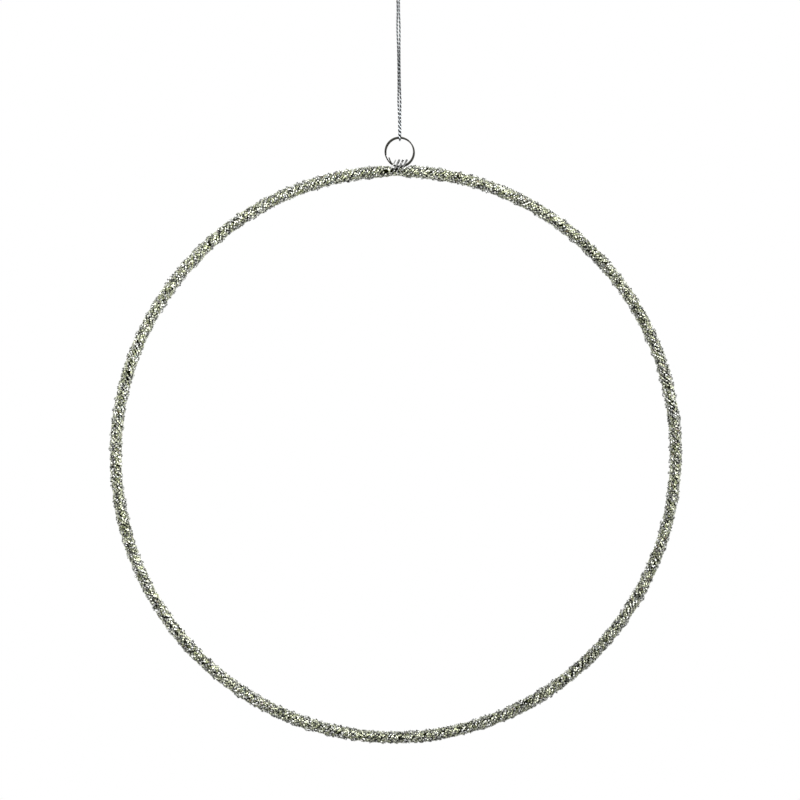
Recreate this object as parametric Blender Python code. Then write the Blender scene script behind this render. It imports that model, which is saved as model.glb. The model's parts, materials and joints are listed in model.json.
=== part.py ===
"""A round hanging hoop: a steel rod wound with strands of small glass beads, bound to a
two-turn wire ring that hangs on a doubled cord.

The origin is the hanging point under the cord's knot, +Z is up, and the hoop lies in the
XZ plane with its front towards -Y.
"""

import math

import bmesh
import bpy
import numpy as np

MM = 0.001
CLEARANCE = 0.3 * MM  # air between pieces that touch on the real hoop

# Rod and bead strands
OUTER_DIAMETER = 300.0 * MM  # over the beads
ROD_DIAMETER = 3.0 * MM
ROD_POINTS = 96
STRAND_DIAMETER = 1.4 * MM  # over its beads
BEAD_SEAT = 0.35 * MM  # air between the rod and the beads
STRAND_COUNT = 7
STRAND_TURNS = 11  # turns of each strand round the rod
STRAND_TURN_POINTS = 8
STRAND_START = 9.6 * MM  # from the middle of the ring to the first turn, along the rod

# Wire ring of two turns
RING_RADIUS = 7.45 * MM  # to the middle of the wire
RING_WIRE = 0.7 * MM
RING_TURN_STEP = 0.85 * MM  # from the front turn to the back one
RING_TURN_SHIFT = 0.25 * MM  # each turn lies this far out of true, up left or down right
RING_JOIN = math.radians(210)  # where the wire steps over, counter-clockwise from +X
RING_JOIN_HALF = math.radians(20)
RING_TURN_POINTS = 24
RING_SEAT = 2.35 * MM  # from the middle of the rod up to the ring's lowest wire

# Wire that binds the ring to the rod
BINDING_WIRE = 0.6 * MM
BINDING_TURNS = 4
BINDING_TURN_POINTS = 14
BINDING_SPAN = (-5.1 * MM, 2.7 * MM)  # along the rod, from the middle of the ring
BINDING_LEAN = 2.0 * MM  # each turn's top leans this far to the right and its foot to the left
BINDING_REACH = 2.5 * MM  # from the rod's middle to the front and to the back
BINDING_BOTTOM = -2.3 * MM
BINDING_TOP = 5.7 * MM

# Doubled cord, its knot and its two tails
CORD_DIAMETER = 1.0 * MM
CORD_DROP = 75.0 * MM  # from the hanging point to the wire that it goes round
CORD_LEAN = 1.5 * MM  # the ring hangs this far to the right of the knot
CORD_LEG_MM = (
    # The front leg, from the knot to the lowest point of its bend, measured from the
    # middle line of the two legs. The back leg is the same, turned by half a turn.
    (-0.45, 0.56, -0.15),
    (-0.43, 0.58, -5.0),
    (-0.40, 0.60, -10.0),
    (-0.57, 0.44, -14.5),
    (-0.71, 0.10, -18.5),
    (-0.69, -0.20, -22.5),
    (-0.59, -0.41, -26.5),
    (-0.54, -0.47, -31.0),
    (-0.50, -0.52, -36.0),
    (-0.50, -0.52, -40.5),
    (-0.54, -0.47, -46.5),
    (-0.60, -0.40, -51.5),
    (-0.68, -0.25, -55.7),
    (-0.62, -0.37, -59.8),
    (-0.51, -0.60, -64.0),
    (-0.53, -0.86, -68.0),
    (-0.56, -1.10, -70.8),
    (-0.54, -1.37, -73.3),
    (-0.44, -1.47, -75.0),
    (-0.25, -1.04, -76.04),
    (0.0, 0.0, -76.47),
)
ROUTE_STEPS = 2  # tube points from one route point to the next
KNOT_DIAMETER = 4.4 * MM
KNOT_HEIGHT = 3.6 * MM
KNOT_ROUNDING = 0.8 * MM
KNOT_SIDES = 14
KNOT_ROUNDING_STEPS = 2
TAIL_MM = (
    # The right tail, from the top of the knot. The left one is its mirror image.
    (0.75, 0.0, 0.3),
    (0.8, 0.0, 1.6),
    (1.15, -0.1, 3.6),
    (1.8, -0.3, 6.0),
    (2.7, -0.4, 8.6),
)

# Sides of a tube for each bevel_resolution
SIX_SIDES = 1
EIGHT_SIDES = 2
NEIGHBOUR_RUN = 3  # diameters along a tube within which its points are neighbours

WRAP_RADIUS = ROD_DIAMETER / 2 + BEAD_SEAT + STRAND_DIAMETER / 2
HOOP_RADIUS = OUTER_DIAMETER / 2 - WRAP_RADIUS - STRAND_DIAMETER / 2
KNOT_BOTTOM = CLEARANCE / 2


def clear_scene():
    for old in list(bpy.data.objects):
        bpy.data.objects.remove(old, do_unlink=True)


def finish(name, colour, roughness, metallic):
    material = bpy.data.materials.new(name)
    material.use_nodes = True
    shader = material.node_tree.nodes["Principled BSDF"]
    shader.inputs["Base Color"].default_value = (*colour, 1.0)
    shader.inputs["Roughness"].default_value = roughness
    shader.inputs["Metallic"].default_value = metallic
    return material


def axis_empty(name, location, parent=None):
    empty = bpy.data.objects.new(name, None)
    empty.location = location
    empty.parent = parent
    bpy.context.collection.objects.link(empty)
    return empty


def place(name, data, parent, material, location=(0, 0, 0)):
    data.materials.append(material)
    piece = bpy.data.objects.new(name, data)
    piece.parent = parent
    piece.location = location
    bpy.context.collection.objects.link(piece)
    return piece


def tube(name, points, diameter, resolution, closed=False):
    """A round tube along the points, with its ends filled unless it closes on itself."""
    curve = bpy.data.curves.new(name, "CURVE")
    curve.dimensions = "3D"
    curve.fill_mode = "FULL"
    curve.bevel_depth = diameter / 2
    curve.bevel_resolution = resolution
    curve.use_fill_caps = not closed
    spline = curve.splines.new("POLY")
    spline.points.add(len(points) - 1)
    spline.points.foreach_set("co", np.c_[points, np.ones(len(points))].ravel())
    spline.use_cyclic_u = closed
    return curve


def straight_ends(points, length):
    """The points with a straight run of this length added before the first and after the last."""
    first = points[0] - points[1]
    last = points[-1] - points[-2]
    before = points[0] + first * length / np.linalg.norm(first)
    after = points[-1] + last * length / np.linalg.norm(last)
    return np.vstack([before, points, after])


def smooth_route(points, steps):
    """A Catmull-Rom curve through the points, read at this many steps for each span."""
    points = np.asarray(points, float)
    ends = 2 * points[[0, -1]] - points[[1, -2]]
    padded = np.vstack([ends[0], points, ends[1]])
    a, b, c, d = (padded[i : i + len(points) - 1, None] for i in range(4))
    t = (np.arange(steps) / steps)[None, :, None]
    cubic = (3 * b - a - 3 * c + d) * t**3 + (2 * a - 5 * b + 4 * c - d) * t**2
    spans = b + ((c - a) * t + cubic) / 2
    return np.vstack([spans.reshape(-1, 3), points[-1]])


def least_gap(points, diameter):
    """The least gap of a tube to itself, leaving out neighbours along it."""
    along = np.r_[0, np.cumsum(np.linalg.norm(np.diff(points, axis=0), axis=1))]
    apart = np.linalg.norm(points[:, None] - points[None], axis=2)
    run = np.abs(along[:, None] - along[None])
    return apart[run > NEIGHBOUR_RUN * diameter].min() - diameter


def report_gap(name, points, diameter):
    print(f"{name}: least gap to itself {least_gap(points, diameter) / MM:.2f} mm")


def ease(value):
    """0 to 1 with a level start and end."""
    value = np.clip(value, 0, 1)
    return value * value * (3 - 2 * value)


def round_the_hoop(angle, section, radius):
    """Points on a tube of this radius about the rod.

    angle runs clockwise from the top of the hoop, seen from the front, and section runs from
    the outside of the hoop towards its front.
    """
    out = HOOP_RADIUS + radius * np.cos(section)
    front = -radius * np.sin(section) * np.ones_like(angle)
    return np.stack([out * np.sin(angle), front, out * np.cos(angle)], axis=-1)


def core_hoop(parent, location):
    angle = np.linspace(0, 2 * np.pi, ROD_POINTS, endpoint=False)
    points = round_the_hoop(angle, 0.0, 0.0)
    steel = finish("dark_steel_rod", (0.09, 0.09, 0.085), 0.45, 1.0)
    curve = tube("core_hoop", points, ROD_DIAMETER, EIGHT_SIDES, closed=True)
    place("core_hoop", curve, parent, steel, location)


def strand_points(index):
    """One strand's helix round the rod, from one side of the ring to the other."""
    start = STRAND_START / HOOP_RADIUS
    angle = np.linspace(start, 2 * np.pi - start, STRAND_TURNS * STRAND_TURN_POINTS + 1)
    turned = np.linspace(0, STRAND_TURNS, len(angle))
    section = 2 * np.pi * (index / STRAND_COUNT - turned)
    return straight_ends(round_the_hoop(angle, section, WRAP_RADIUS), STRAND_DIAMETER)


def bead_strands(parent, location):
    glass = finish("silver_lined_glass", (0.52, 0.53, 0.46), 0.2, 0.8)
    runs = [strand_points(index) for index in range(STRAND_COUNT)]
    for number, points in enumerate(runs, start=1):
        name = f"bead_strand_{number}"
        curve = tube(name, points, STRAND_DIAMETER, SIX_SIDES)
        place(name, curve, parent, glass, location)
        report_gap(name, points, STRAND_DIAMETER)
    apart = np.linalg.norm(runs[0][:, None] - runs[1][None], axis=2).min()
    print(f"bead strands: least gap to each other {(apart - STRAND_DIAMETER) / MM:.2f} mm")


def binding_wire(parent, location):
    """Slanting turns round the rod and the ring's foot, tall enough for the ring to tilt in them."""
    turned = np.linspace(0, BINDING_TURNS, BINDING_TURNS * BINDING_TURN_POINTS + 1)
    section = np.pi - 2 * np.pi * turned
    along = np.interp(turned, (0, BINDING_TURNS), BINDING_SPAN) + BINDING_LEAN * np.cos(section)
    middle = (BINDING_TOP + BINDING_BOTTOM) / 2
    half_height = (BINDING_TOP - BINDING_BOTTOM) / 2
    height = middle + half_height * np.cos(section)
    points = np.stack([along, -BINDING_REACH * np.sin(section), height], axis=-1)
    points = straight_ends(points, BINDING_WIRE)
    silver = finish("silver_binding_wire", (0.62, 0.62, 0.6), 0.25, 1.0)
    curve = tube("binding_wire", points, BINDING_WIRE, SIX_SIDES)
    place("binding_wire", curve, parent, silver, location)
    report_gap("binding_wire", points, BINDING_WIRE)


def hanging_ring(parent, location):
    """Two flat turns of wire that step from the front turn to the back one at the join."""
    full = 2 * np.pi
    ends = (RING_JOIN + RING_JOIN_HALF, RING_JOIN + 2 * full - RING_JOIN_HALF)
    count = round((ends[1] - ends[0]) / full * RING_TURN_POINTS) + 1
    angle = np.linspace(*ends, count)
    step = ease((angle - RING_JOIN - full) / (2 * RING_JOIN_HALF) + 0.5)
    side = 2 * step - 1
    x = RING_RADIUS * np.cos(angle) + RING_TURN_SHIFT * side
    z = RING_RADIUS * np.sin(angle) - RING_TURN_SHIFT * side
    points = np.stack([x, RING_TURN_STEP / 2 * side, z], axis=-1)
    steel = finish("nickel_plated_ring", (0.42, 0.42, 0.41), 0.18, 1.0)
    curve = tube("hanging_ring", points, RING_WIRE, SIX_SIDES)
    place("hanging_ring", curve, parent, steel, location)
    report_gap("hanging_ring", points, RING_WIRE)


def cord_points():
    """The doubled cord from the knot, down its front leg, round the ring and up its back leg."""
    leg = np.array(CORD_LEG_MM) * MM
    other = (leg * (-1, -1, 1))[-2::-1]
    route = np.vstack([leg, other])
    route[:, 0] += CORD_LEAN * route[:, 2] / -CORD_DROP
    return smooth_route(route, ROUTE_STEPS)


def hanging_cord(parent, material):
    points = cord_points()
    curve = tube("hanging_cord", points, CORD_DIAMETER, EIGHT_SIDES)
    place("hanging_cord", curve, parent, material)
    report_gap("hanging_cord", points, CORD_DIAMETER)


def cord_knot(parent, material):
    """A short barrel with rounded rims, as an overhand knot pulls up."""
    mesh = bpy.data.meshes.new("cord_knot")
    shape = bmesh.new()
    bmesh.ops.create_cone(
        shape,
        cap_ends=True,
        segments=KNOT_SIDES,
        radius1=KNOT_DIAMETER / 2,
        radius2=KNOT_DIAMETER / 2,
        depth=KNOT_HEIGHT,
    )
    rims = [edge for edge in shape.edges if abs(edge.verts[0].co.z - edge.verts[1].co.z) < CLEARANCE]
    bmesh.ops.bevel(
        shape, geom=rims, offset=KNOT_ROUNDING, segments=KNOT_ROUNDING_STEPS, affect="EDGES"
    )
    shape.to_mesh(mesh)
    shape.free()
    mesh.shade_smooth()
    place("cord_knot", mesh, parent, material, (0, 0, KNOT_BOTTOM + KNOT_HEIGHT / 2))


def cord_tails(parent, material):
    right = smooth_route(np.array(TAIL_MM) * MM, ROUTE_STEPS)
    top = (0, 0, KNOT_BOTTOM + KNOT_HEIGHT)
    for name, mirror in (("cord_tail_right", 1), ("cord_tail_left", -1)):
        curve = tube(name, right * (mirror, mirror, 1), CORD_DIAMETER, EIGHT_SIDES)
        place(name, curve, parent, material, top)


def main():
    clear_scene()
    hanging_point = axis_empty("hanging_point", (0, 0, 0))
    cord_twist = axis_empty("cord_twist_axis", (0, 0, 0), hanging_point)
    ring_swing = axis_empty("ring_swing_axis", (CORD_LEAN, 0, -CORD_DROP), cord_twist)
    hoop_swing = axis_empty("hoop_swing_axis", (0, 0, -2 * RING_RADIUS), ring_swing)

    silver_cord = finish("silver_cord", (0.55, 0.56, 0.58), 0.35, 0.6)
    cord_knot(hanging_point, silver_cord)
    cord_tails(hanging_point, silver_cord)
    hanging_cord(cord_twist, silver_cord)
    hanging_ring(ring_swing, (0, 0, -RING_RADIUS))

    rod_top = (0, 0, -RING_SEAT)
    hoop_centre = (0, 0, -RING_SEAT - HOOP_RADIUS)
    core_hoop(hoop_swing, hoop_centre)
    bead_strands(hoop_swing, hoop_centre)
    binding_wire(hoop_swing, rod_top)


main()
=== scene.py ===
import json

import bpy
import numpy as np
from mathutils import Matrix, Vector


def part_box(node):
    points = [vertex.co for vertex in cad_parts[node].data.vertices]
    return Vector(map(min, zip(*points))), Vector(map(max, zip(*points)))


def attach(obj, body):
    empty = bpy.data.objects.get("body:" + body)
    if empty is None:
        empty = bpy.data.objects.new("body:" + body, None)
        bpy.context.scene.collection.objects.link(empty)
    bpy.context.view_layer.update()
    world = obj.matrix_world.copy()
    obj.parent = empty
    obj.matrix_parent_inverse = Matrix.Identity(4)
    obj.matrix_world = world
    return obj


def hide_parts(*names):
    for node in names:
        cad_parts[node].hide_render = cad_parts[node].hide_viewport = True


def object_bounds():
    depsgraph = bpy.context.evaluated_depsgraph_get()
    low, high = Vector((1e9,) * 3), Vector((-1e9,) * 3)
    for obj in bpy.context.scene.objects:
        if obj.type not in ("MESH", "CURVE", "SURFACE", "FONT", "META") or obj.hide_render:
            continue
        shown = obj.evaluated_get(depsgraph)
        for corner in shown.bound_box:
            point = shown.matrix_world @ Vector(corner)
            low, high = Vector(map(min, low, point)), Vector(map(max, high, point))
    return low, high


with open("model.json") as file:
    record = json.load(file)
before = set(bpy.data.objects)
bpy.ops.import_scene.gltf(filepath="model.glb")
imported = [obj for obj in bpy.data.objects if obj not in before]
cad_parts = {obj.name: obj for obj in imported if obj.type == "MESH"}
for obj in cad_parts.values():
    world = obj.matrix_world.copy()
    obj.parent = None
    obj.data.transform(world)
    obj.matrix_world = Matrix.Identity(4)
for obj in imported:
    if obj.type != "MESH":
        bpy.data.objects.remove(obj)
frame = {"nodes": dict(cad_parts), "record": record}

mm = 0.001
fullTurn = 2 * np.pi
toRight, toBack, upwards = np.eye(3)
swingSteps = 13  # swings of the hoop that are tried between its limits
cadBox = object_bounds()

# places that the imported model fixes
joints = {joint["name"]: joint for joint in frame["record"]["behaviour"]["joints"]}
ringTop, ringFoot = (np.array(joints[name]["pos_m"]) for name in ("ring_swing", "hoop_swing"))
hoopSwing = np.radians(np.linspace(*joints["hoop_swing"]["range_deg"], swingSteps))
ringCentre = (ringTop + ringFoot) / 2
ringRadius = np.linalg.norm(ringTop - ringFoot) / 2
rodLow, rodHigh = (np.array(corner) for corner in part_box("core_hoop"))
hoopCentre = (rodLow + rodHigh) / 2
rodRadius = (rodHigh[1] - rodLow[1]) / 2
hoopRadius = (rodHigh[0] - rodLow[0]) / 2 - rodRadius
rodTop = hoopCentre + (0, 0, hoopRadius)
print(f"frame: hoop radius {hoopRadius / mm:.2f} mm, rod radius {rodRadius / mm:.2f} mm, "
      f"ring radius {ringRadius / mm:.2f} mm")


# every vector divided by its own length
def unit(vectors):
    return vectors / np.linalg.norm(vectors, axis=-1, keepdims=True)


# 0 to 1 along 3 v^2 - 2 v^3, level at both ends
def ease(value):
    value = np.clip(value, 0, 1)
    return value * value * (3 - 2 * value)


# running sum of the distances from point to point
def lengthAlong(path):
    return np.r_[0, np.cumsum(np.linalg.norm(np.diff(path, axis=0), axis=1))]


# Catmull-Rom cubic through the points, read at equal steps of the line's own length
def smoothRoute(points, spacing, finer=40):
    ends = 2 * points[[0, -1]] - points[[1, -2]]
    padded = np.vstack([ends[0], points, ends[1]])
    a, b, c, d = (padded[i:i + len(points) - 1, None] for i in range(4))
    t = (np.arange(finer) / finer)[None, :, None]
    cubic = (3 * b - a - 3 * c + d) * t**3 + (2 * a - 5 * b + 4 * c - d) * t**2
    line = np.vstack([(b + ((c - a) * t + cubic) / 2).reshape(-1, 3), points[-1]])
    along = lengthAlong(line)
    at = np.linspace(0, along[-1], int(along[-1] / spacing) + 1)
    return np.stack([np.interp(at, along, line[:, axis]) for axis in range(3)], axis=-1)


# tangent by central differences, normal = reference less its share along the tangent,
# side = tangent x normal
def pathFrames(path, reference):
    tangent = unit(np.gradient(path, axis=0))
    normal = unit(reference - (reference * tangent).sum(-1, keepdims=True) * tangent)
    return tangent, normal, np.cross(tangent, normal)


# grid[i, j] = path[i] + radius[i] * (cos(angle[j]) * normal[i] + sin(angle[j]) * side[i])
def tubeGrid(path, reference, radius, sides):
    _, normal, side = pathFrames(path, reference)
    angle = np.arange(sides) / sides * fullTurn
    spoke = np.cos(angle)[:, None] * normal[:, None] + np.sin(angle)[:, None] * side[:, None]
    return path[:, None] + np.broadcast_to(radius, len(path))[:, None, None] * spoke


# a shell is a stack of grids [body, ring, side]: quads join ring i to i+1 and side j to j+1, facing
# outwards, and open grids get a flat cap at both ends; uv runs round the tube and along it in girths
def gridShell(grid, finish=0, closed=False, shade=None, along=None):
    grid = grid if grid.ndim == 4 else grid[None]
    bodies, rings, sides = grid.shape[:3]
    index = np.arange(bodies * rings * sides).reshape(bodies, rings, sides)
    ahead = np.roll(index, -1, axis=1)
    quads = np.stack([index, np.roll(index, -1, axis=2), np.roll(ahead, -1, axis=2), ahead], axis=-1)
    along = np.arange(rings) if along is None else along
    onward = np.roll(along, -1)
    row = np.stack([along, along, onward, onward], axis=-1)[:, None]
    column = (np.arange(sides)[:, None] + [0, 1, 1, 0]) / sides
    uv = np.stack(np.broadcast_arrays(column, row), axis=-1)
    uv = np.broadcast_to(uv, (bodies, rings, sides, 4, 2))
    caps = np.zeros((0, sides), int)
    if not closed:
        quads, uv = quads[:, :-1], uv[:, :-1]
        caps = np.concatenate([index[:, 0, ::-1], index[:, -1]])
    shade = np.ones((bodies, rings, sides, 4)) if shade is None else shade
    return dict(points=grid.reshape(-1, 3), quads=quads.reshape(-1, 4), uv=uv.reshape(-1, 2), caps=caps,
                finish=finish, shade=shade.reshape(-1, 4))


# all shells in one mesh object that rides on a body; corners, uv and colours go in as flat arrays,
# caps lie on one point of the uv map, and edges over the sharp angle in degrees stay sharp
def makePiece(name, shells, finishes, body, nodes, sharpAngle=50, capUv=0.5):
    starts = np.r_[0, np.cumsum([len(shell["points"]) for shell in shells])]
    parts = [(shell[kind], start) for shell, start in zip(shells, starts) for kind in ("quads", "caps")]
    corners = np.concatenate([part.ravel() + start for part, start in parts])
    counts = np.concatenate([np.full(len(part), part.shape[1]) for part, _ in parts])
    uv = [(shell["uv"], np.full((shell["caps"].size, 2), capUv)) for shell in shells]
    uv = np.concatenate([part for pair in uv for part in pair])
    finish = [np.full(len(shell["quads"]) + len(shell["caps"]), shell["finish"]) for shell in shells]
    mesh = bpy.data.meshes.new(name)
    mesh.vertices.add(starts[-1])
    mesh.vertices.foreach_set("co", np.concatenate([shell["points"] for shell in shells]).ravel())
    mesh.loops.add(len(corners))
    mesh.loops.foreach_set("vertex_index", corners.astype(np.int32))
    mesh.polygons.add(len(counts))
    mesh.polygons.foreach_set("loop_start", (np.cumsum(counts) - counts).astype(np.int32))
    mesh.polygons.foreach_set("material_index", np.concatenate(finish).astype(np.int32))
    mesh.update(calc_edges=True)
    mesh.validate()
    mesh.uv_layers.new(name="threadUv").data.foreach_set("uv", uv.ravel())
    shade = np.concatenate([shell["shade"] for shell in shells])
    mesh.attributes.new("beadColour", "FLOAT_COLOR", "POINT").data.foreach_set("color", shade.ravel())
    mesh.shade_smooth()
    mesh.set_sharp_from_angle(angle=np.radians(sharpAngle))
    for material in finishes:
        mesh.materials.append(material)
    piece = bpy.data.objects.new(name, mesh)
    bpy.context.collection.objects.link(piece)
    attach(piece, body)
    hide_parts(*nodes)
    print(f"{name}: {sum(counts - 2)} triangles")
    return piece


# camera
photo = dict(
    size=800,  # pixels along each side
    hoopMiddle=(397.35, 454.5),  # pixel of the hoop's middle
    hoopAcross=566.6,  # pixels across the middle line of the rod
    lean=0.45,  # degrees that the hoop's top leans to the right
    azimuth=-8.8,  # degrees
    elevation=1.5,
    distance=4.0,  # metres from the hoop's middle
    sensor=36.0,  # mm
    sight=50.0,  # metres that the camera sees
)


# 4 by 4 matrix with right, up, back and the place as its columns
def standAt(right, up, back, place):
    return Matrix(np.vstack([np.c_[right, up, back, place], [0, 0, 0, 1]]).tolist())


# back, right and up from azimuth and elevation, then rolled; the middle of the picture is the hoop's
# middle plus its pixel offset at the scale of the rod's diameter
def setCamera():
    azimuth, elevation, lean = (np.radians(photo[key]) for key in ("azimuth", "elevation", "lean"))
    ahead = np.cos(elevation)
    back = np.array([np.sin(azimuth) * ahead, -np.cos(azimuth) * ahead, np.sin(elevation)])
    level = np.array([np.cos(azimuth), np.sin(azimuth), 0])
    upright = np.cross(back, level)
    right = level * np.cos(lean) + upright * np.sin(lean)
    up = upright * np.cos(lean) - level * np.sin(lean)
    pixel = 2 * hoopRadius / photo["hoopAcross"]
    across = (photo["size"] / 2 - photo["hoopMiddle"][0]) * pixel
    above = (photo["hoopMiddle"][1] - photo["size"] / 2) * pixel
    place = hoopCentre + right * across + up * above + back * photo["distance"]
    camera = bpy.data.objects.new("camera", bpy.data.cameras.new("camera"))
    camera.data.sensor_width = photo["sensor"]
    camera.data.lens = photo["sensor"] * photo["distance"] / (photo["size"] * pixel)
    camera.data.clip_end = photo["sight"]
    camera.matrix_world = standAt(right, up, back, place)
    bpy.context.collection.objects.link(camera)
    bpy.context.scene.camera = camera
    print(f"camera: {pixel / mm:.4f} mm a pixel, lens {camera.data.lens:.0f} mm")


setCamera()

# finishes, where three numbers are a noise's scale, then the least and the most that it gives
noiseMiddle = (0.3, 0.7)  # most values of a noise lie between these


# a node with its settings, and its inputs joined to a socket or set to a value
def addNode(tree, kind, inputs=None, **settings):
    node = tree.nodes.new(kind)
    for key, value in settings.items():
        setattr(node, key, value)
    for key, value in (inputs or {}).items():
        if isinstance(value, bpy.types.NodeSocket):
            tree.links.new(value, node.inputs[key])
        else:
            node.inputs[key].default_value = value
    return node


# the result of one operation on sockets or values
def maths(tree, operation, *values):
    return addNode(tree, "ShaderNodeMath", dict(enumerate(values)), operation=operation).outputs[0]


# a Principled material with plain values on its own sockets
def newFinish(name, sockets):
    material = bpy.data.materials.new(name)
    material.use_nodes = True
    shader = material.node_tree.nodes["Principled BSDF"]
    for key, value in sockets.items():
        shader.inputs[key].default_value = value
    return material, material.node_tree, shader


# noise on Object coordinates, stretched from its usual middle range to low..high
def mottle(tree, scale, low, high, detail=3.0):
    place = addNode(tree, "ShaderNodeTexCoord").outputs["Object"]
    noise = addNode(tree, "ShaderNodeTexNoise", {"Vector": place, "Scale": scale, "Detail": detail})
    bottom, top = noiseMiddle
    stretch = {"From Min": bottom, "From Max": top, "To Min": low, "To Max": high}
    return addNode(tree, "ShaderNodeMapRange", {"Value": noise.outputs["Fac"], **stretch}).outputs["Result"]


# colour times a grey factor
def shaded(tree, colour, factor):
    mix = addNode(tree, "ShaderNodeMix", data_type="RGBA", blend_type="MULTIPLY")
    mix.inputs["Factor"].default_value = 1
    for socket, source in (("A_Color", colour), ("B_Color", factor)):
        target = next(entry for entry in mix.inputs if entry.identifier == socket)
        if isinstance(source, bpy.types.NodeSocket):
            tree.links.new(source, target)
        else:
            target.default_value = source
    return next(entry for entry in mix.outputs if entry.identifier == "Result_Color")


# small relief from a height socket
def relief(tree, shader, height, strength, depth):
    bump = addNode(tree, "ShaderNodeBump", {"Height": height, "Strength": strength, "Distance": depth})
    tree.links.new(bump.outputs["Normal"], shader.inputs["Normal"])


glassLook = dict(
    sockets={"IOR": 1.5, "Coat Weight": 0.35, "Coat Roughness": 0.05},
    tint=(900, 0.75, 1.15),
    gloss=(1400, 0.03, 0.16),
    pits=(2600, 0.25, 0.03 * mm),  # scale, strength and depth
)


# silver-lined glass: each bead's colour, with its painted shade, painted sheen and painted light, and, as
# its alpha, how much of a mirror lines it, under a clear coat, with slightly uneven gloss
def silverLinedGlass():
    material, tree, shader = newFinish("silverLinedGlass", glassLook["sockets"])
    bead = addNode(tree, "ShaderNodeAttribute", attribute_name="beadColour")
    tree.links.new(bead.outputs["Alpha"], shader.inputs["Metallic"])
    colour = shaded(tree, bead.outputs["Color"], mottle(tree, *glassLook["tint"]))
    tree.links.new(colour, shader.inputs["Base Color"])
    tree.links.new(mottle(tree, *glassLook["gloss"]), shader.inputs["Roughness"])
    scale, strength, depth = glassLook["pits"]
    relief(tree, shader, mottle(tree, scale, 0, 1, detail=1), strength, depth)
    return material


wireLook = dict(
    handled=600,  # scale of the worn colour
    polished=1500,  # scale of the roughness
    drawn=(24, 0.6, 1),  # lines round the wire, and breaks along each girth of it
    relief=(0.2, 0.02 * mm),  # strength and depth
)
wireFinishes = dict(  # linear colour, then least and most of the roughness and of the wear
    stringWire=((0.013, 0.0155, 0.002), (0.25, 0.45), (0.7, 1.2)),
    bindingWire=((0.5, 0.5, 0.48), (0.12, 0.3), (0.15, 1.5)),
    nickelWire=((0.035, 0.035, 0.03), (0.12, 0.32), (0.4, 1.8)),
)


# bare wire: colour mottled by handling, drawn lines along the wire as relief
def drawnWire(name, colour, gloss, wear):
    material, tree, shader = newFinish(name, {"Metallic": 1.0})
    worn = shaded(tree, (*colour, 1), mottle(tree, wireLook["handled"], *wear))
    tree.links.new(worn, shader.inputs["Base Color"])
    tree.links.new(mottle(tree, wireLook["polished"], *gloss), shader.inputs["Roughness"])
    uv = addNode(tree, "ShaderNodeUVMap", uv_map="threadUv").outputs["UV"]
    drawn = addNode(tree, "ShaderNodeMapping", {"Vector": uv, "Scale": wireLook["drawn"]}).outputs["Vector"]
    lines = addNode(tree, "ShaderNodeTexNoise", {"Vector": drawn, "Scale": 1.0, "Detail": 2.0})
    relief(tree, shader, lines.outputs["Fac"], *wireLook["relief"])
    return material


threadLook = dict(
    sockets={"Metallic": 0.85},
    wear=(1100, 0.6, 1.3),
    gloss=(1800, 0.22, 0.45),
    filaments=9.0,  # round each ply
    relief=(0.5, 0.02 * mm),  # strength and depth
)
# the dark ply's near black is painted shade, for the shade in the grooves between the plies
threadColours = dict(brightThread=(0.60, 0.64, 0.665), paintedShadeThread=(0.012, 0.013, 0.014))


# metallic thread: fine filaments run slantwise round each ply as sin(filaments * u + v), with worn and
# bright spots, and the colour attribute holds how bright the cord is at each height
def metallicThread(name, colour):
    material, tree, shader = newFinish(name, threadLook["sockets"])
    heightBrightness = addNode(tree, "ShaderNodeAttribute", attribute_name="beadColour").outputs["Color"]
    worn = shaded(tree, (*colour, 1), mottle(tree, *threadLook["wear"]))
    tree.links.new(shaded(tree, worn, heightBrightness), shader.inputs["Base Color"])
    tree.links.new(mottle(tree, *threadLook["gloss"]), shader.inputs["Roughness"])
    uv = addNode(tree, "ShaderNodeUVMap", uv_map="threadUv").outputs["UV"]
    part = addNode(tree, "ShaderNodeSeparateXYZ", {"Vector": uv}).outputs
    slant = maths(tree, "MULTIPLY_ADD", part["X"], threadLook["filaments"], part["Y"])
    wave = maths(tree, "SINE", maths(tree, "MULTIPLY", slant, fullTurn))
    relief(tree, shader, wave, *threadLook["relief"])
    return material


rodLook = dict(
    colour=(0.0075, 0.009, 0.001),
    film=(400, 0.5, 1.5),
    gloss=(900, 0.3, 0.6),
    pits=(1600, 0.3, 0.05 * mm),  # scale, strength and depth
)


# rod: dark bare steel with a thin uneven film of rust
def darkSteel():
    material, tree, shader = newFinish("darkSteel", {"Metallic": 1.0})
    rusty = shaded(tree, (*rodLook["colour"], 1), mottle(tree, *rodLook["film"]))
    tree.links.new(rusty, shader.inputs["Base Color"])
    tree.links.new(mottle(tree, *rodLook["gloss"]), shader.inputs["Roughness"])
    scale, strength, depth = rodLook["pits"]
    relief(tree, shader, mottle(tree, scale, 0, 1), strength, depth)
    return material


glassFinish = silverLinedGlass()
stringFinish, bindingFinish, ringFinish = (drawnWire(name, *look) for name, look in wireFinishes.items())
threadFinishes = [metallicThread(name, colour) for name, colour in threadColours.items()]
for slot in frame["nodes"]["core_hoop"].material_slots:
    slot.material = darkSteel()
print("finishes ready")

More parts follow.
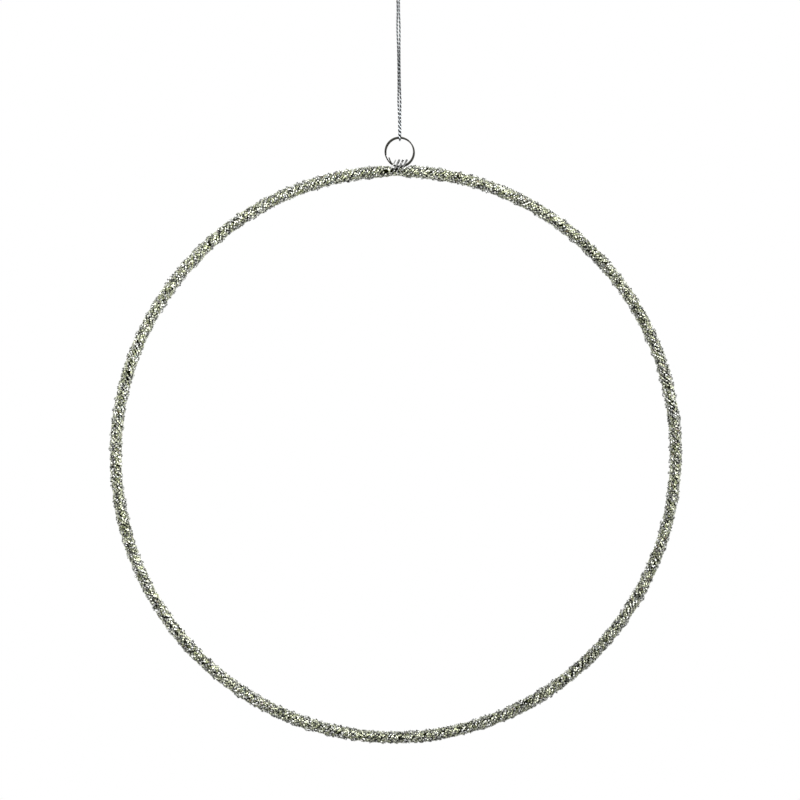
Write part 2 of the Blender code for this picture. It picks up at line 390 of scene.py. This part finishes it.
# cord
cord = dict(
    diameter=1.0 * mm,
    lean=1.5 * mm,  # the ring hangs this far to the right of the knot
    drop=75.0 * mm,  # from the knot to the ring
    lay=-2.02 * mm,  # length of one turn of a ply, to the left
    uneven=(0.3, 34.0 * mm),  # turns that the twist runs ahead and back, and over what length
    plies=(0.58, 0.66),  # radius of the bright ply and of the dark one, whose near black is painted shade, as a part of the cord's
    heightBrightness=(  # height in mm and brightness there: darker half way down, paler near the ring
        (-75, 1.25), (-62, 1.25), (-56, 0.9), (-50, 0.55), (-31, 0.55), (-24, 1.0),
    ),
    spacing=0.12 * mm,  # from point to point of a route
    sides=8,
    leg=(  # front leg in mm from the middle line of the two; the back leg is the same, half a turn round
        (-0.45, 0.56, -0.15), (-0.43, 0.58, -5.0), (-0.40, 0.60, -10.0), (-0.57, 0.44, -14.5),
        (-0.71, 0.10, -18.5), (-0.69, -0.20, -22.5), (-0.59, -0.41, -26.5), (-0.54, -0.47, -31.0),
        (-0.50, -0.52, -36.0), (-0.50, -0.52, -40.5), (-0.54, -0.47, -46.5), (-0.60, -0.40, -51.5),
        (-0.68, -0.25, -55.7), (-0.62, -0.37, -59.8), (-0.51, -0.60, -64.0), (-0.53, -0.86, -68.0),
        (-0.56, -1.10, -70.8), (-0.54, -1.37, -73.3), (-0.44, -1.47, -75.0), (-0.25, -1.04, -76.04),
        (0.0, 0.0, -76.47),
    ),
)


# each ply is a tube on a helix about the route: offset * (cos(w) normal + sin(w) side), where w is
# length / lay turns and a slow wave, and spread widens the helix where the cord comes apart
def twistedCord(path, reference, spread=1.0):
    radii = cord["diameter"] / 2 * np.array(cord["plies"])
    _, normal, side = pathFrames(path, reference)
    along = lengthAlong(path)
    ahead, run = cord["uneven"]
    twist = along / cord["lay"] + ahead * np.sin(fullTurn * along / run)
    phase = fullTurn * (np.arange(len(radii))[:, None] / len(radii) + twist)
    spokes = np.cos(phase)[..., None] * normal + np.sin(phase)[..., None] * side
    bright = np.interp(path[:, 2] / mm, *zip(*cord["heightBrightness"]))
    shade = np.broadcast_to(bright[:, None, None], (len(path), cord["sides"], 4))
    spread = np.broadcast_to(spread, len(path))[:, None]
    shells = []
    for finish, (radius, spoke) in enumerate(zip(radii, spokes)):
        line = path + (cord["diameter"] / 2 - radius) * spread * spoke
        grid = tubeGrid(line, spoke, radius, cord["sides"])
        shells.append(gridShell(grid, finish, shade=shade, along=along / (fullTurn * radius)))
    return shells


# points in mm as metres: (x, y, z) on side 1, and (-x, -y, z), half a turn round, on side -1
def onSide(points, side):
    return np.array(points) * mm * (side, side, 1)


# front leg, then the same points turned by half a turn and taken backwards, leaning with the drop
def cordRoute():
    route = np.vstack([onSide(cord["leg"], 1), onSide(cord["leg"], -1)[-2::-1]])
    route[:, 0] += cord["lean"] * route[:, 2] / -cord["drop"]
    return smoothRoute(route, cord["spacing"])


cordPath = cordRoute()
hangingCord = makePiece("hangingCord", twistedCord(cordPath, toRight), threadFinishes,
                        "cord", ["hanging_cord"])

knot = dict(
    reach=2.05,  # how far the curve's parameter runs to each side
    points=120,
    routePoints=slice(6, -6, 3),  # which of them the cord's route runs through
    centring=1.7,  # brings the middle of the curve to the axis
    narrow=(1.7, 0.35),  # parameter where it starts to draw in at its ends, and over how much
    height=3.6 * mm,
    bottom=0.15 * mm,
    across=0.42 * mm,
    depth=0.10 * mm,
    apart=0.45 * mm,  # each cord of the pair from their middle line
    twistFrom=(0.35, 0.94, 0),  # direction that the twist of its plies is counted from
    tail=(  # right one, in mm
        (0.75, 0.0, 0.3), (0.8, 0.0, 1.6), (1.15, -0.1, 3.6), (1.8, -0.3, 6.0), (2.7, -0.4, 8.6),
    ),
    fray=1.6,  # how far the plies come apart at the cut end
    frayFrom=-1.6,  # its parameter at the knot: they start to open at 0, and the tip is at 1
)
knotTop = knot["bottom"] + knot["height"]


# overhand knot: the long trefoil (t^4 - 4 t^2, t^5 - 10 t, t^3 - 3 t), drawn in to the axis at both ends;
# the two cords lie beside its middle line
def overhandKnot(side):
    t = np.linspace(-knot["reach"], knot["reach"], knot["points"])
    drawnFrom, drawnOver = knot["narrow"]
    narrow = 1 - ease((np.abs(t) - drawnFrom) / drawnOver)
    rise = (t**3 - 3 * t) / (knot["reach"]**3 - 3 * knot["reach"])
    middle = np.stack([narrow * (t**4 - 4 * t**2 + knot["centring"]) * knot["across"],
                       narrow * (t**5 - 10 * t) * knot["depth"],
                       knot["bottom"] + knot["height"] * (rise + 1) / 2], axis=-1)
    tangent = unit(np.gradient(middle, axis=0))
    line = middle - side * knot["apart"] * unit(np.cross(tangent, toBack))
    start = onSide(cord["leg"][0], -side)
    end = onSide(knot["tail"][0], side) + (0, 0, knotTop)
    route = np.vstack([start, line[knot["routePoints"]], end])
    return twistedCord(smoothRoute(route, cord["spacing"]), np.array(knot["twistFrom"]))


# a cut end: the plies open towards the tip as 1 + fray * ease
def cordTail(name, side, node):
    path = smoothRoute(onSide(knot["tail"], side) + (0, 0, knotTop), cord["spacing"])
    opening = 1 + knot["fray"] * ease(np.linspace(knot["frayFrom"], 1, len(path)))
    shells = twistedCord(path, toBack, opening)
    return makePiece(name, shells, threadFinishes, "knot", [node])


cordKnot = makePiece("cordKnot", overhandKnot(1) + overhandKnot(-1), threadFinishes,
                     "knot", ["cord_knot"])
tailRight = cordTail("cordTailRight", 1, "cord_tail_right")
tailLeft = cordTail("cordTailLeft", -1, "cord_tail_left")
print(f"cord: {lengthAlong(cordPath)[-1] / mm:.0f} mm from knot to knot")

# ring
ring = dict(
    wire=0.7 * mm,
    step=0.85 * mm,  # from the front turn to the back one
    shift=0.25 * mm,  # each turn lies this far out of true
    join=210.0,  # degrees counter-clockwise from the right, where the wire steps over
    joinHalf=20.0,  # degrees to each side of the join that the step takes
    tipBack=21.0,  # degrees that the front end runs back past the step
    tipIn=1.15 * mm,  # the front end springs in by this much
    tipReach=38.0,  # degrees from its tip to where it lies true
    points=260,
    sides=12,
)


# two flat turns: radius * (cos, sin), stepping from front to back at the join, with the free end
# sprung inwards
def hangingRing():
    join, half = np.radians(ring["join"]), np.radians(ring["joinHalf"])
    first, last = join + half - np.radians(ring["tipBack"]), join + 2 * fullTurn - half
    angle = np.linspace(first, last, ring["points"])
    side = 2 * ease((angle - join - fullTurn) / (2 * half) + 0.5) - 1
    reach = ringRadius - ring["tipIn"] * ease(1 - (angle - first) / np.radians(ring["tipReach"]))
    path = ringCentre + np.stack([reach * np.cos(angle) + ring["shift"] * side, ring["step"] / 2 * side,
                                  reach * np.sin(angle) - ring["shift"] * side], axis=-1)
    grid = tubeGrid(path, toBack, ring["wire"] / 2, ring["sides"])
    shell = gridShell(grid, along=lengthAlong(path) / (np.pi * ring["wire"]))
    makePiece("hangingRing", [shell], [ringFinish], "ring", ["hanging_ring"])


hangingRing()

# winding
beads = dict(
    strands=7,
    rows=2,  # strung wires in each strand
    rowStep=0.41,  # from wire to wire, as a part of the way to the next strand
    turns=58,  # of each strand round the rod
    length=1.2 * mm,
    lengths=(0.75, 1.1),  # least and most of a bead's own length as a part of that
    width=0.92 * mm,  # over the corners in its middle
    widths=(0.84, 1.08),  # least and most of its own width as a part of that
    ends=0.8,  # width of its ends as a part of its own width
    hole=0.4 * mm,
    gap=0.06 * mm,  # from bead to bead on the wire
    seat=0.25 * mm,  # air between the rod and a bead
    over=0.3 * mm,  # most that one row rides over another
    overWaves=(40, 90),  # least and most times round the hoop that it does so
    lift=1.3 * mm,  # most that a loose bead stands out
    liftPower=3,  # the higher, the fewer stand out far
    standFull=0.5,  # part of the lift at which a bead counts as standing out in full
    sway=22.0,  # degrees out of line, to the side
    pitch=12.0,  # degrees out of line, up or down
    roll=8.0,  # degrees that its outer flat is turned about the wire
    wander=0.12,  # the rows stray by this part of a radian in slow waves
    wanderWaves=(17, 60),  # least and most of them round the hoop
    jog=0.08,  # and by about this much from bead to bead
    missing=0.03,  # part of the beads that are lost
    shades=(0.8, 1.15),  # least and most of a bead's own brightness
    paintedShadeLow=0.68,  # painted shade: brightness of the beads that lie lowest, down among the others over the rod
    under=0.38,  # painted shade: brightness of the side that faces the rod
    paintedShadeEnds=0.72,  # painted shade: brightness of the end faces' rims
    paintedShadeHole=0.1,  # and inside the hole, also painted shade
    cornerCosine=0.5,  # parts the corners of a bead's outer flat, and of the one on the rod, from the rest
    paintedLightOneSide=(0.163, 312.0),  # painted light: part by which the beads on one side of the hoop are painted paler, and where, in degrees clockwise from the top
    paintedLightLeftRight=0.1,  # painted light: part by which those at the left and right are painted paler than those at top and bottom
    paintedSheen=0.85,  # painted sheen: how far the beads that stand out most, and the side flats of every bead, are painted pale grey
    paintedSheenColour=(0.74, 0.75, 0.75, 0.85),  # linear colour of the painted sheen, and mirror lining
    sides=6,
    sharp=12.0,  # degrees between two flats, over which their edge stays sharp
    string=0.2 * mm,  # diameter of the wire that they are strung on
    stringSides=5,
    stringPoints=14,  # for each turn
    nudge=1e-4,  # radians ahead and back, between which the wire's direction is taken
    drawn=(-1.5 * mm, 4.0 * mm),  # middle and half length of the run that the binding draws in to the rod
    drawnEnd=1.5,  # half lengths from that middle to where it lets go
    grip=0.75,  # how much of the slack it takes up
    clearance=0.7 * mm,  # from the ring to the middle of the nearest bead, however the hoop swings
    bare=(  # where the rod shows beside the ring's foot: mm along it, and degrees from its top to the front
        ((-8.2, 0.8), (86, 107)),
        ((-5.5, -0.6), (10, 76)),
    ),
    seed=41,
)
beadColours = dict(  # linear colour, mirror lining and share of the beads
    silver=((0.95, 0.98, 0.72), 0.9, 0.33),
    champagne=((0.82, 0.87, 0.54), 0.75, 0.25),
    olive=((0.43, 0.48, 0.20), 0.25, 0.22),
    smoke=((0.045, 0.054, 0.006), 0.95, 0.18),
    pale=((0.97, 0.98, 0.90), 0.9, 0.055),
    amber=((0.34, 0.25, 0.10), 0.15, 0.02),
    blush=((0.66, 0.58, 0.53), 0.5, 0.015),
    bottle=((0.28, 0.38, 0.30), 0.15, 0.01),
)
beadRadius = rodRadius + beads["seat"] + beads["width"] / 2


# out from the rod: cos(section) away from the hoop's middle, sin(section) to the front
def outwards(angle, section):
    away = np.cos(section)
    return np.stack([away * np.sin(angle), -np.sin(section), away * np.cos(angle)], axis=-1)


# point on the winding: hoop radius along the clockwise angle from the top, then the radius outwards
def roundTheHoop(angle, section, radius):
    spine = hoopRadius * np.stack([np.sin(angle), 0 * angle, np.cos(angle)], axis=-1)
    radius = np.broadcast_to(radius, np.shape(angle))[..., None]
    return hoopCentre + spine + radius * outwards(angle, section)


# distance along the rod from its top to the right: hoop radius * the angle, brought within half a turn
def pastTop(angle):
    return ((angle + np.pi) % fullTurn - np.pi) * hoopRadius


# least distance from points on the hoop to the ring's wires, over all that the hoop can swing on the
# ring's foot: the point turned about the foot, then hypot(distance past the two turns, distance from
# the ring's circle)
def ringGap(points):
    x, y, z = np.moveaxis(points - ringFoot, -1, 0)
    cos, sin = np.cos(hoopSwing)[:, None], np.sin(hoopSwing)[:, None]
    beyond = np.maximum(np.abs(y * cos - z * sin) - ring["step"] / 2, 0)
    offCircle = np.abs(np.hypot(x, y * sin + z * cos - ringRadius) - ringRadius)
    return np.hypot(beyond, np.maximum(offCircle - ring["shift"], 0)).min(0) - ring["wire"] / 2


# true where distance along the rod and turn about it both lie inside one of the bare places
def isBare(angle, section):
    along = pastTop(angle) / mm
    turned = np.degrees(section) % 360
    inside = [(along > left) & (along < right) & (turned > low) & (turned < high)
              for (left, right), (low, high) in beads["bare"]]
    return np.any(inside, axis=0)


# one cut bead's outline: two slopes that meet in its middle, end faces and hole, as distance along
# and radius
def beadProfile(length, width, hole):
    along = length[:, None] / 2 * [-1, 0, 1, 1, -1]
    slopes = width[:, None] / 2 * [beads["ends"], 1, beads["ends"], 0, 0]
    return along, slopes + hole / 2 * np.array([0, 0, 0, 1, 1])


# beads on a path: profile turned about each bead's own axis, which is swayed and pitched off the path's
# tangent; colour = its own * brightness, with painted shade where it lies low, painted sheen (pale grey)
# where it stands out and off its outer flat, and painted shade on its ends, hole and foot, times the
# painted light round the hoop
def beadShell(centre, tangent, normal, length, width, hole, palette, standing, paintedLightTone, rng):
    count = len(centre)
    sway, pitch = (np.radians(beads[key]) * rng.standard_normal((count, 1)) for key in ("sway", "pitch"))
    axis = np.cos(sway) * tangent + np.sin(sway) * np.cross(tangent, normal)
    axis = unit(np.cos(pitch) * axis + np.sin(pitch) * normal)
    up = unit(normal - (normal * axis).sum(-1, keepdims=True) * axis)
    side = np.cross(axis, up)
    along, radius = beadProfile(length, width * rng.uniform(*beads["widths"], count), hole)
    corner = (np.arange(beads["sides"]) + 0.5) / beads["sides"] * fullTurn
    angle = corner + np.radians(beads["roll"]) * rng.standard_normal((count, 1))
    spoke = np.cos(angle)[..., None] * up[:, None] + np.sin(angle)[..., None] * side[:, None]
    middle = centre[:, None, None] + along[..., None, None] * axis[:, None, None]
    grid = middle + radius[..., None, None] * spoke[:, None]

    colours, linings, shares = (np.array(part) for part in zip(*palette.values()))
    chosen = rng.choice(len(shares), count, p=shares / shares.sum())
    standing = np.reshape(standing, (-1, 1))
    colour = colours[chosen] * rng.uniform(*beads["shades"], (count, 1))
    # painted shade: beads that lie low are painted darker
    colour = colour * (beads["paintedShadeLow"] + (1 - beads["paintedShadeLow"]) * standing)
    colour = np.c_[colour, linings[chosen]][:, None, None]
    turnedOut = np.cos(corner)  # 1 away from the rod, -1 towards it
    # painted sheen: beads that stand out and every bead's side flats are painted pale grey
    clear = beads["paintedSheen"] * np.maximum(standing**2, turnedOut < beads["cornerCosine"])[:, None, :, None]
    colour = colour + clear * (np.array(beads["paintedSheenColour"]) - colour)
    # painted shade on the ends, in the hole and on the foot of each bead, times the painted light round the
    # hoop
    end, inside = beads["paintedShadeEnds"], beads["paintedShadeHole"]
    foot = np.where(turnedOut < -beads["cornerCosine"], beads["under"], 1)
    paintedShadeAndLight = np.array([end, 1, end, inside, inside])[:, None] * foot * np.reshape(paintedLightTone, (-1, 1, 1))
    shade = np.clip(colour * np.stack([paintedShadeAndLight, paintedShadeAndLight, paintedShadeAndLight, np.ones_like(paintedShadeAndLight)], axis=-1), 0, 1)
    return gridShell(grid, closed=True, shade=shade)


# helix: section falls by one turn for each turn of the strand, so that it leans clockwise outwards on
# the front, and strays by two slow waves and by a random jog at each point
def strandSection(number, angle, rng):
    waves = rng.integers(*beads["wanderWaves"], 2)[:, None] * angle + rng.uniform(0, fullTurn, 2)[:, None]
    stray = beads["wander"] * np.sin(waves).sum(0) / 2 + beads["jog"] * rng.standard_normal(len(angle))
    return fullTurn * number / beads["strands"] - beads["turns"] * angle + stray


# beads of uneven length threaded one after the other on a wire, which rides over its neighbours in slow
# waves: radius = lowest + slack * (seat + wave + lift), less slack where the binding draws it in
def beadRow(number, rng):
    girth = fullTurn * np.hypot(hoopRadius, beadRadius * beads["turns"])
    usual = beads["length"] * np.mean(beads["lengths"]) + beads["gap"]
    length = beads["length"] * rng.uniform(*beads["lengths"], int(girth / usual))
    end = np.cumsum(length + beads["gap"])
    line = np.linspace(0, fullTurn, beads["turns"] * beads["stringPoints"])
    lineSection = strandSection(number, line, rng)
    riding = (1 + np.sin(rng.integers(*beads["overWaves"]) * line + rng.uniform(0, fullTurn))) / 2
    middle, half = beads["drawn"]
    slack = 1 - beads["grip"] * ease(beads["drawnEnd"] - np.abs(pastTop(line) - middle) / half)
    lineStand = beads["over"] * riding + beads["lift"] * rng.random(len(line))**beads["liftPower"]
    lineRadius = beadRadius - beads["seat"] + slack * (beads["seat"] + lineStand)

    angle = fullTurn * (end - length / 2) / end[-1]
    section = np.interp(angle, line, lineSection)
    radius = np.interp(angle, line, lineRadius)
    keep = (ringGap(roundTheHoop(angle, section, radius)) > beads["clearance"]) & ~isBare(angle, section)
    keep &= rng.random(len(angle)) > beads["missing"]
    angle, section, length, radius = angle[keep], section[keep], length[keep], radius[keep]
    full = beads["over"] + beads["lift"] * beads["standFull"]
    standing = np.clip(np.interp(angle, line, lineStand) / full, 0, 1)
    most, where = beads["paintedLightOneSide"]
    # painted light: beads on one side of the hoop, and at its left and right, are painted paler
    paintedLightTone = 1 + most * np.cos(angle - np.radians(where)) - beads["paintedLightLeftRight"] * np.cos(2 * angle)
    step = beads["nudge"]
    tangent = unit(roundTheHoop(angle + step, section - beads["turns"] * step, radius)
                   - roundTheHoop(angle - step, section + beads["turns"] * step, radius))
    strung = beadShell(roundTheHoop(angle, section, radius), tangent, outwards(angle, section), length,
                       beads["width"], beads["hole"], beadColours, standing, paintedLightTone, rng)

    low = rodRadius - beads["string"] / 2  # let into the rod where the ring would press on it
    free = ease(ringGap(roundTheHoop(line, lineSection, lineRadius)) / beads["clearance"])
    wire = roundTheHoop(line, lineSection, low + (lineRadius - low) * free)
    grid = tubeGrid(wire, outwards(line, lineSection), beads["string"] / 2, beads["stringSides"])
    return [strung, gridShell(grid, finish=1, along=lengthAlong(wire) / (np.pi * beads["string"]))]


for number in range(beads["strands"]):
    rng = np.random.default_rng(beads["seed"] + number)
    rows = [beadRow(number + row * beads["rowStep"], rng) for row in range(beads["rows"])]
    makePiece(f"beadStrand{number + 1}", sum(rows, []), [glassFinish, stringFinish], "hoop",
              [f"bead_strand_{number + 1}"], sharpAngle=beads["sharp"])

# binding
binding = dict(
    wire=0.6 * mm,
    turns=4,
    span=(-5.1 * mm, 2.7 * mm),  # along the rod, from the ring's middle
    lean=2.0 * mm,  # each turn's top leans this far to the right and its foot to the left
    reach=2.5 * mm,  # from the rod's middle to the front and to the back
    bottom=-2.3 * mm,
    top=5.7 * mm,
    turnPoints=48,
    sides=10,
    sharp=30.0,  # degrees, over which an edge stays sharp
    beadWidth=1.2 * mm,
    beadLengths=(0.75, 1.0),  # least and most, as a part of the length of those of the winding
    dull=0.45,  # brightness of its beads against those of the winding
    beadsFrom=1.1,  # turns before the first bead on it
    beadsAbove=-0.3,  # cosine of the section, above which a turn carries beads
    seed=7,
)
bindingColours = dict(  # linear colour, mirror lining and share of its beads
    grey=((0.50, 0.51, 0.49), 0.8, 0.5),
    smoke=((0.13, 0.13, 0.12), 0.5, 0.3),
    pale=((0.95, 0.96, 0.94), 0.9, 0.2),
)


# slanting oval turns round the rod and the ring's foot: even steps along the rod plus lean * cos(section)
def bindingTurns():
    turned = np.linspace(0, binding["turns"], binding["turns"] * binding["turnPoints"] + 1)
    section = np.pi - fullTurn * turned
    along = np.interp(turned, (0, binding["turns"]), binding["span"]) + binding["lean"] * np.cos(section)
    middle, half = (binding["top"] + binding["bottom"]) / 2, (binding["top"] - binding["bottom"]) / 2
    path = rodTop + np.stack([along, -binding["reach"] * np.sin(section), middle + half * np.cos(section)],
                             axis=-1)
    run = lengthAlong(path)
    grid = tubeGrid(path, toRight, binding["wire"] / 2, binding["sides"])
    wire = gridShell(grid, along=run / (np.pi * binding["wire"]))

    rng = np.random.default_rng(binding["seed"])
    at = np.searchsorted(run, np.arange(0, run[-1], beads["length"] + beads["gap"]))
    at = at[(turned[at] > binding["beadsFrom"]) & (np.cos(section[at]) > binding["beadsAbove"])]
    at = at[ringGap(path[at]) > binding["beadWidth"] / 2]
    tangent, normal, _ = pathFrames(path, toRight)
    length = beads["length"] * rng.uniform(*binding["beadLengths"], len(at))
    strung = beadShell(path[at], tangent[at], normal[at], length, binding["beadWidth"], binding["wire"],
                       bindingColours, 0, np.ones(len(at)), rng)
    strung["finish"] = 1
    strung["shade"] = strung["shade"] * (binding["dull"], binding["dull"], binding["dull"], 1)
    makePiece("bindingWire", [wire, strung], [bindingFinish, glassFinish], "hoop",
              ["binding_wire"], sharpAngle=binding["sharp"])


bindingTurns()

# studio
studio = dict(
    fill=0.46,  # the white room's light on matt surfaces; gloss and the camera see it at 1
    key=dict(place=(0.7, -1.9, 1.1), size=2.8, watts=66),
    rim=dict(place=(0.9, 1.2, 0.7), size=0.9, watts=8),
    floorPaint={"Base Color": (0.72, 0.72, 0.72, 1), "Roughness": 0.9},
    floorDrop=250 * mm,  # floor below the hoop
    floorReach=(0.22, 0.5),  # where it starts to fade out and where it is gone
    cardPaint={"Base Color": (0.01, 0.01, 0.01, 1), "Roughness": 1.0},
    cards=dict(  # middle from the hoop's middle, half width and half height of each black card
        lowLeft=((-1.15, -1.1, -0.95), (1.35, 1.3)),
    ),
)


# white room: strength 1 to the camera, gloss and glass, less to matt surfaces
def whiteRoom():
    world = bpy.data.worlds.new("whiteRoom")
    bpy.context.scene.world = world
    world.use_nodes = True
    tree = world.node_tree
    tree.nodes.clear()
    ray = addNode(tree, "ShaderNodeLightPath").outputs
    seen = maths(tree, "MAXIMUM", ray["Is Camera Ray"], ray["Is Glossy Ray"])
    seen = maths(tree, "MAXIMUM", seen, ray["Is Transmission Ray"])
    dim, full = (addNode(tree, "ShaderNodeBackground", {"Color": (1, 1, 1, 1), "Strength": strength})
                 for strength in (studio["fill"], 1.0))
    mix = addNode(tree, "ShaderNodeMixShader", {0: seen, 1: dim.outputs[0], 2: full.outputs[0]})
    addNode(tree, "ShaderNodeOutputWorld", {"Surface": mix.outputs[0]})


# right, up and back of something level that stands at this place from the hoop's middle and faces it
def facing(place):
    back = unit(np.array(place, float))
    right = unit(np.cross(upwards, back))
    return right, np.cross(back, right), back


# square lamp that faces the hoop's middle
def softbox(name, place, size, watts):
    lamp = bpy.data.lights.new(name, "AREA")
    lamp.size = size
    lamp.energy = watts
    box = bpy.data.objects.new(name, lamp)
    box.matrix_world = standAt(*facing(place), hoopCentre + place)
    bpy.context.collection.objects.link(box)


# flat rectangle from its middle and two half sides
def panel(name, middle, across, up, material):
    mesh = bpy.data.meshes.new(name)
    signs = np.array([(-1, -1), (1, -1), (1, 1), (-1, 1)])
    corners = np.array(middle) + signs[:, :1] * np.array(across) + signs[:, 1:] * np.array(up)
    mesh.from_pydata(corners.tolist(), [], [(0, 1, 2, 3)])
    mesh.materials.append(material)
    board = bpy.data.objects.new(name, mesh)
    bpy.context.collection.objects.link(board)
    return board


# matt pale paint that fades out with the distance from under the hoop
def floorPaint():
    material, tree, shader = newFinish("floorPaint", studio["floorPaint"])
    place = addNode(tree, "ShaderNodeTexCoord").outputs["Object"]
    flat = addNode(tree, "ShaderNodeVectorMath", {0: place, 1: (1, 1, 0)}, operation="MULTIPLY")
    away = addNode(tree, "ShaderNodeVectorMath", {0: flat.outputs[0]}, operation="LENGTH")
    near, far = studio["floorReach"]
    fade = {"Value": away.outputs["Value"], "From Min": near, "From Max": far}
    fade = addNode(tree, "ShaderNodeMapRange", fade, interpolation_type="SMOOTHSTEP").outputs["Result"]
    clear = addNode(tree, "ShaderNodeBsdfTransparent").outputs[0]
    mix = addNode(tree, "ShaderNodeMixShader", {0: fade, 1: shader.outputs[0], 2: clear})
    tree.links.new(mix.outputs[0], tree.nodes["Material Output"].inputs["Surface"])
    return material


whiteRoom()
softbox("keyLamp", **studio["key"])
softbox("rimLamp", **studio["rim"])
far = studio["floorReach"][1]
panel("floor", (0, 0, cadBox[0][2] - studio["floorDrop"]), (far, 0, 0), (0, far, 0), floorPaint())
blackCard, _, _ = newFinish("blackCard", studio["cardPaint"])
for name, (place, half) in studio["cards"].items():
    right, up, _ = facing(place)
    card = panel(name + "Card", hoopCentre + place, right * half[0], up * half[1], blackCard)
    card.visible_camera = card.visible_diffuse = card.visible_shadow = card.visible_transmission = False
print("studio ready")

bpy.context.scene.view_settings.view_transform = "Standard"
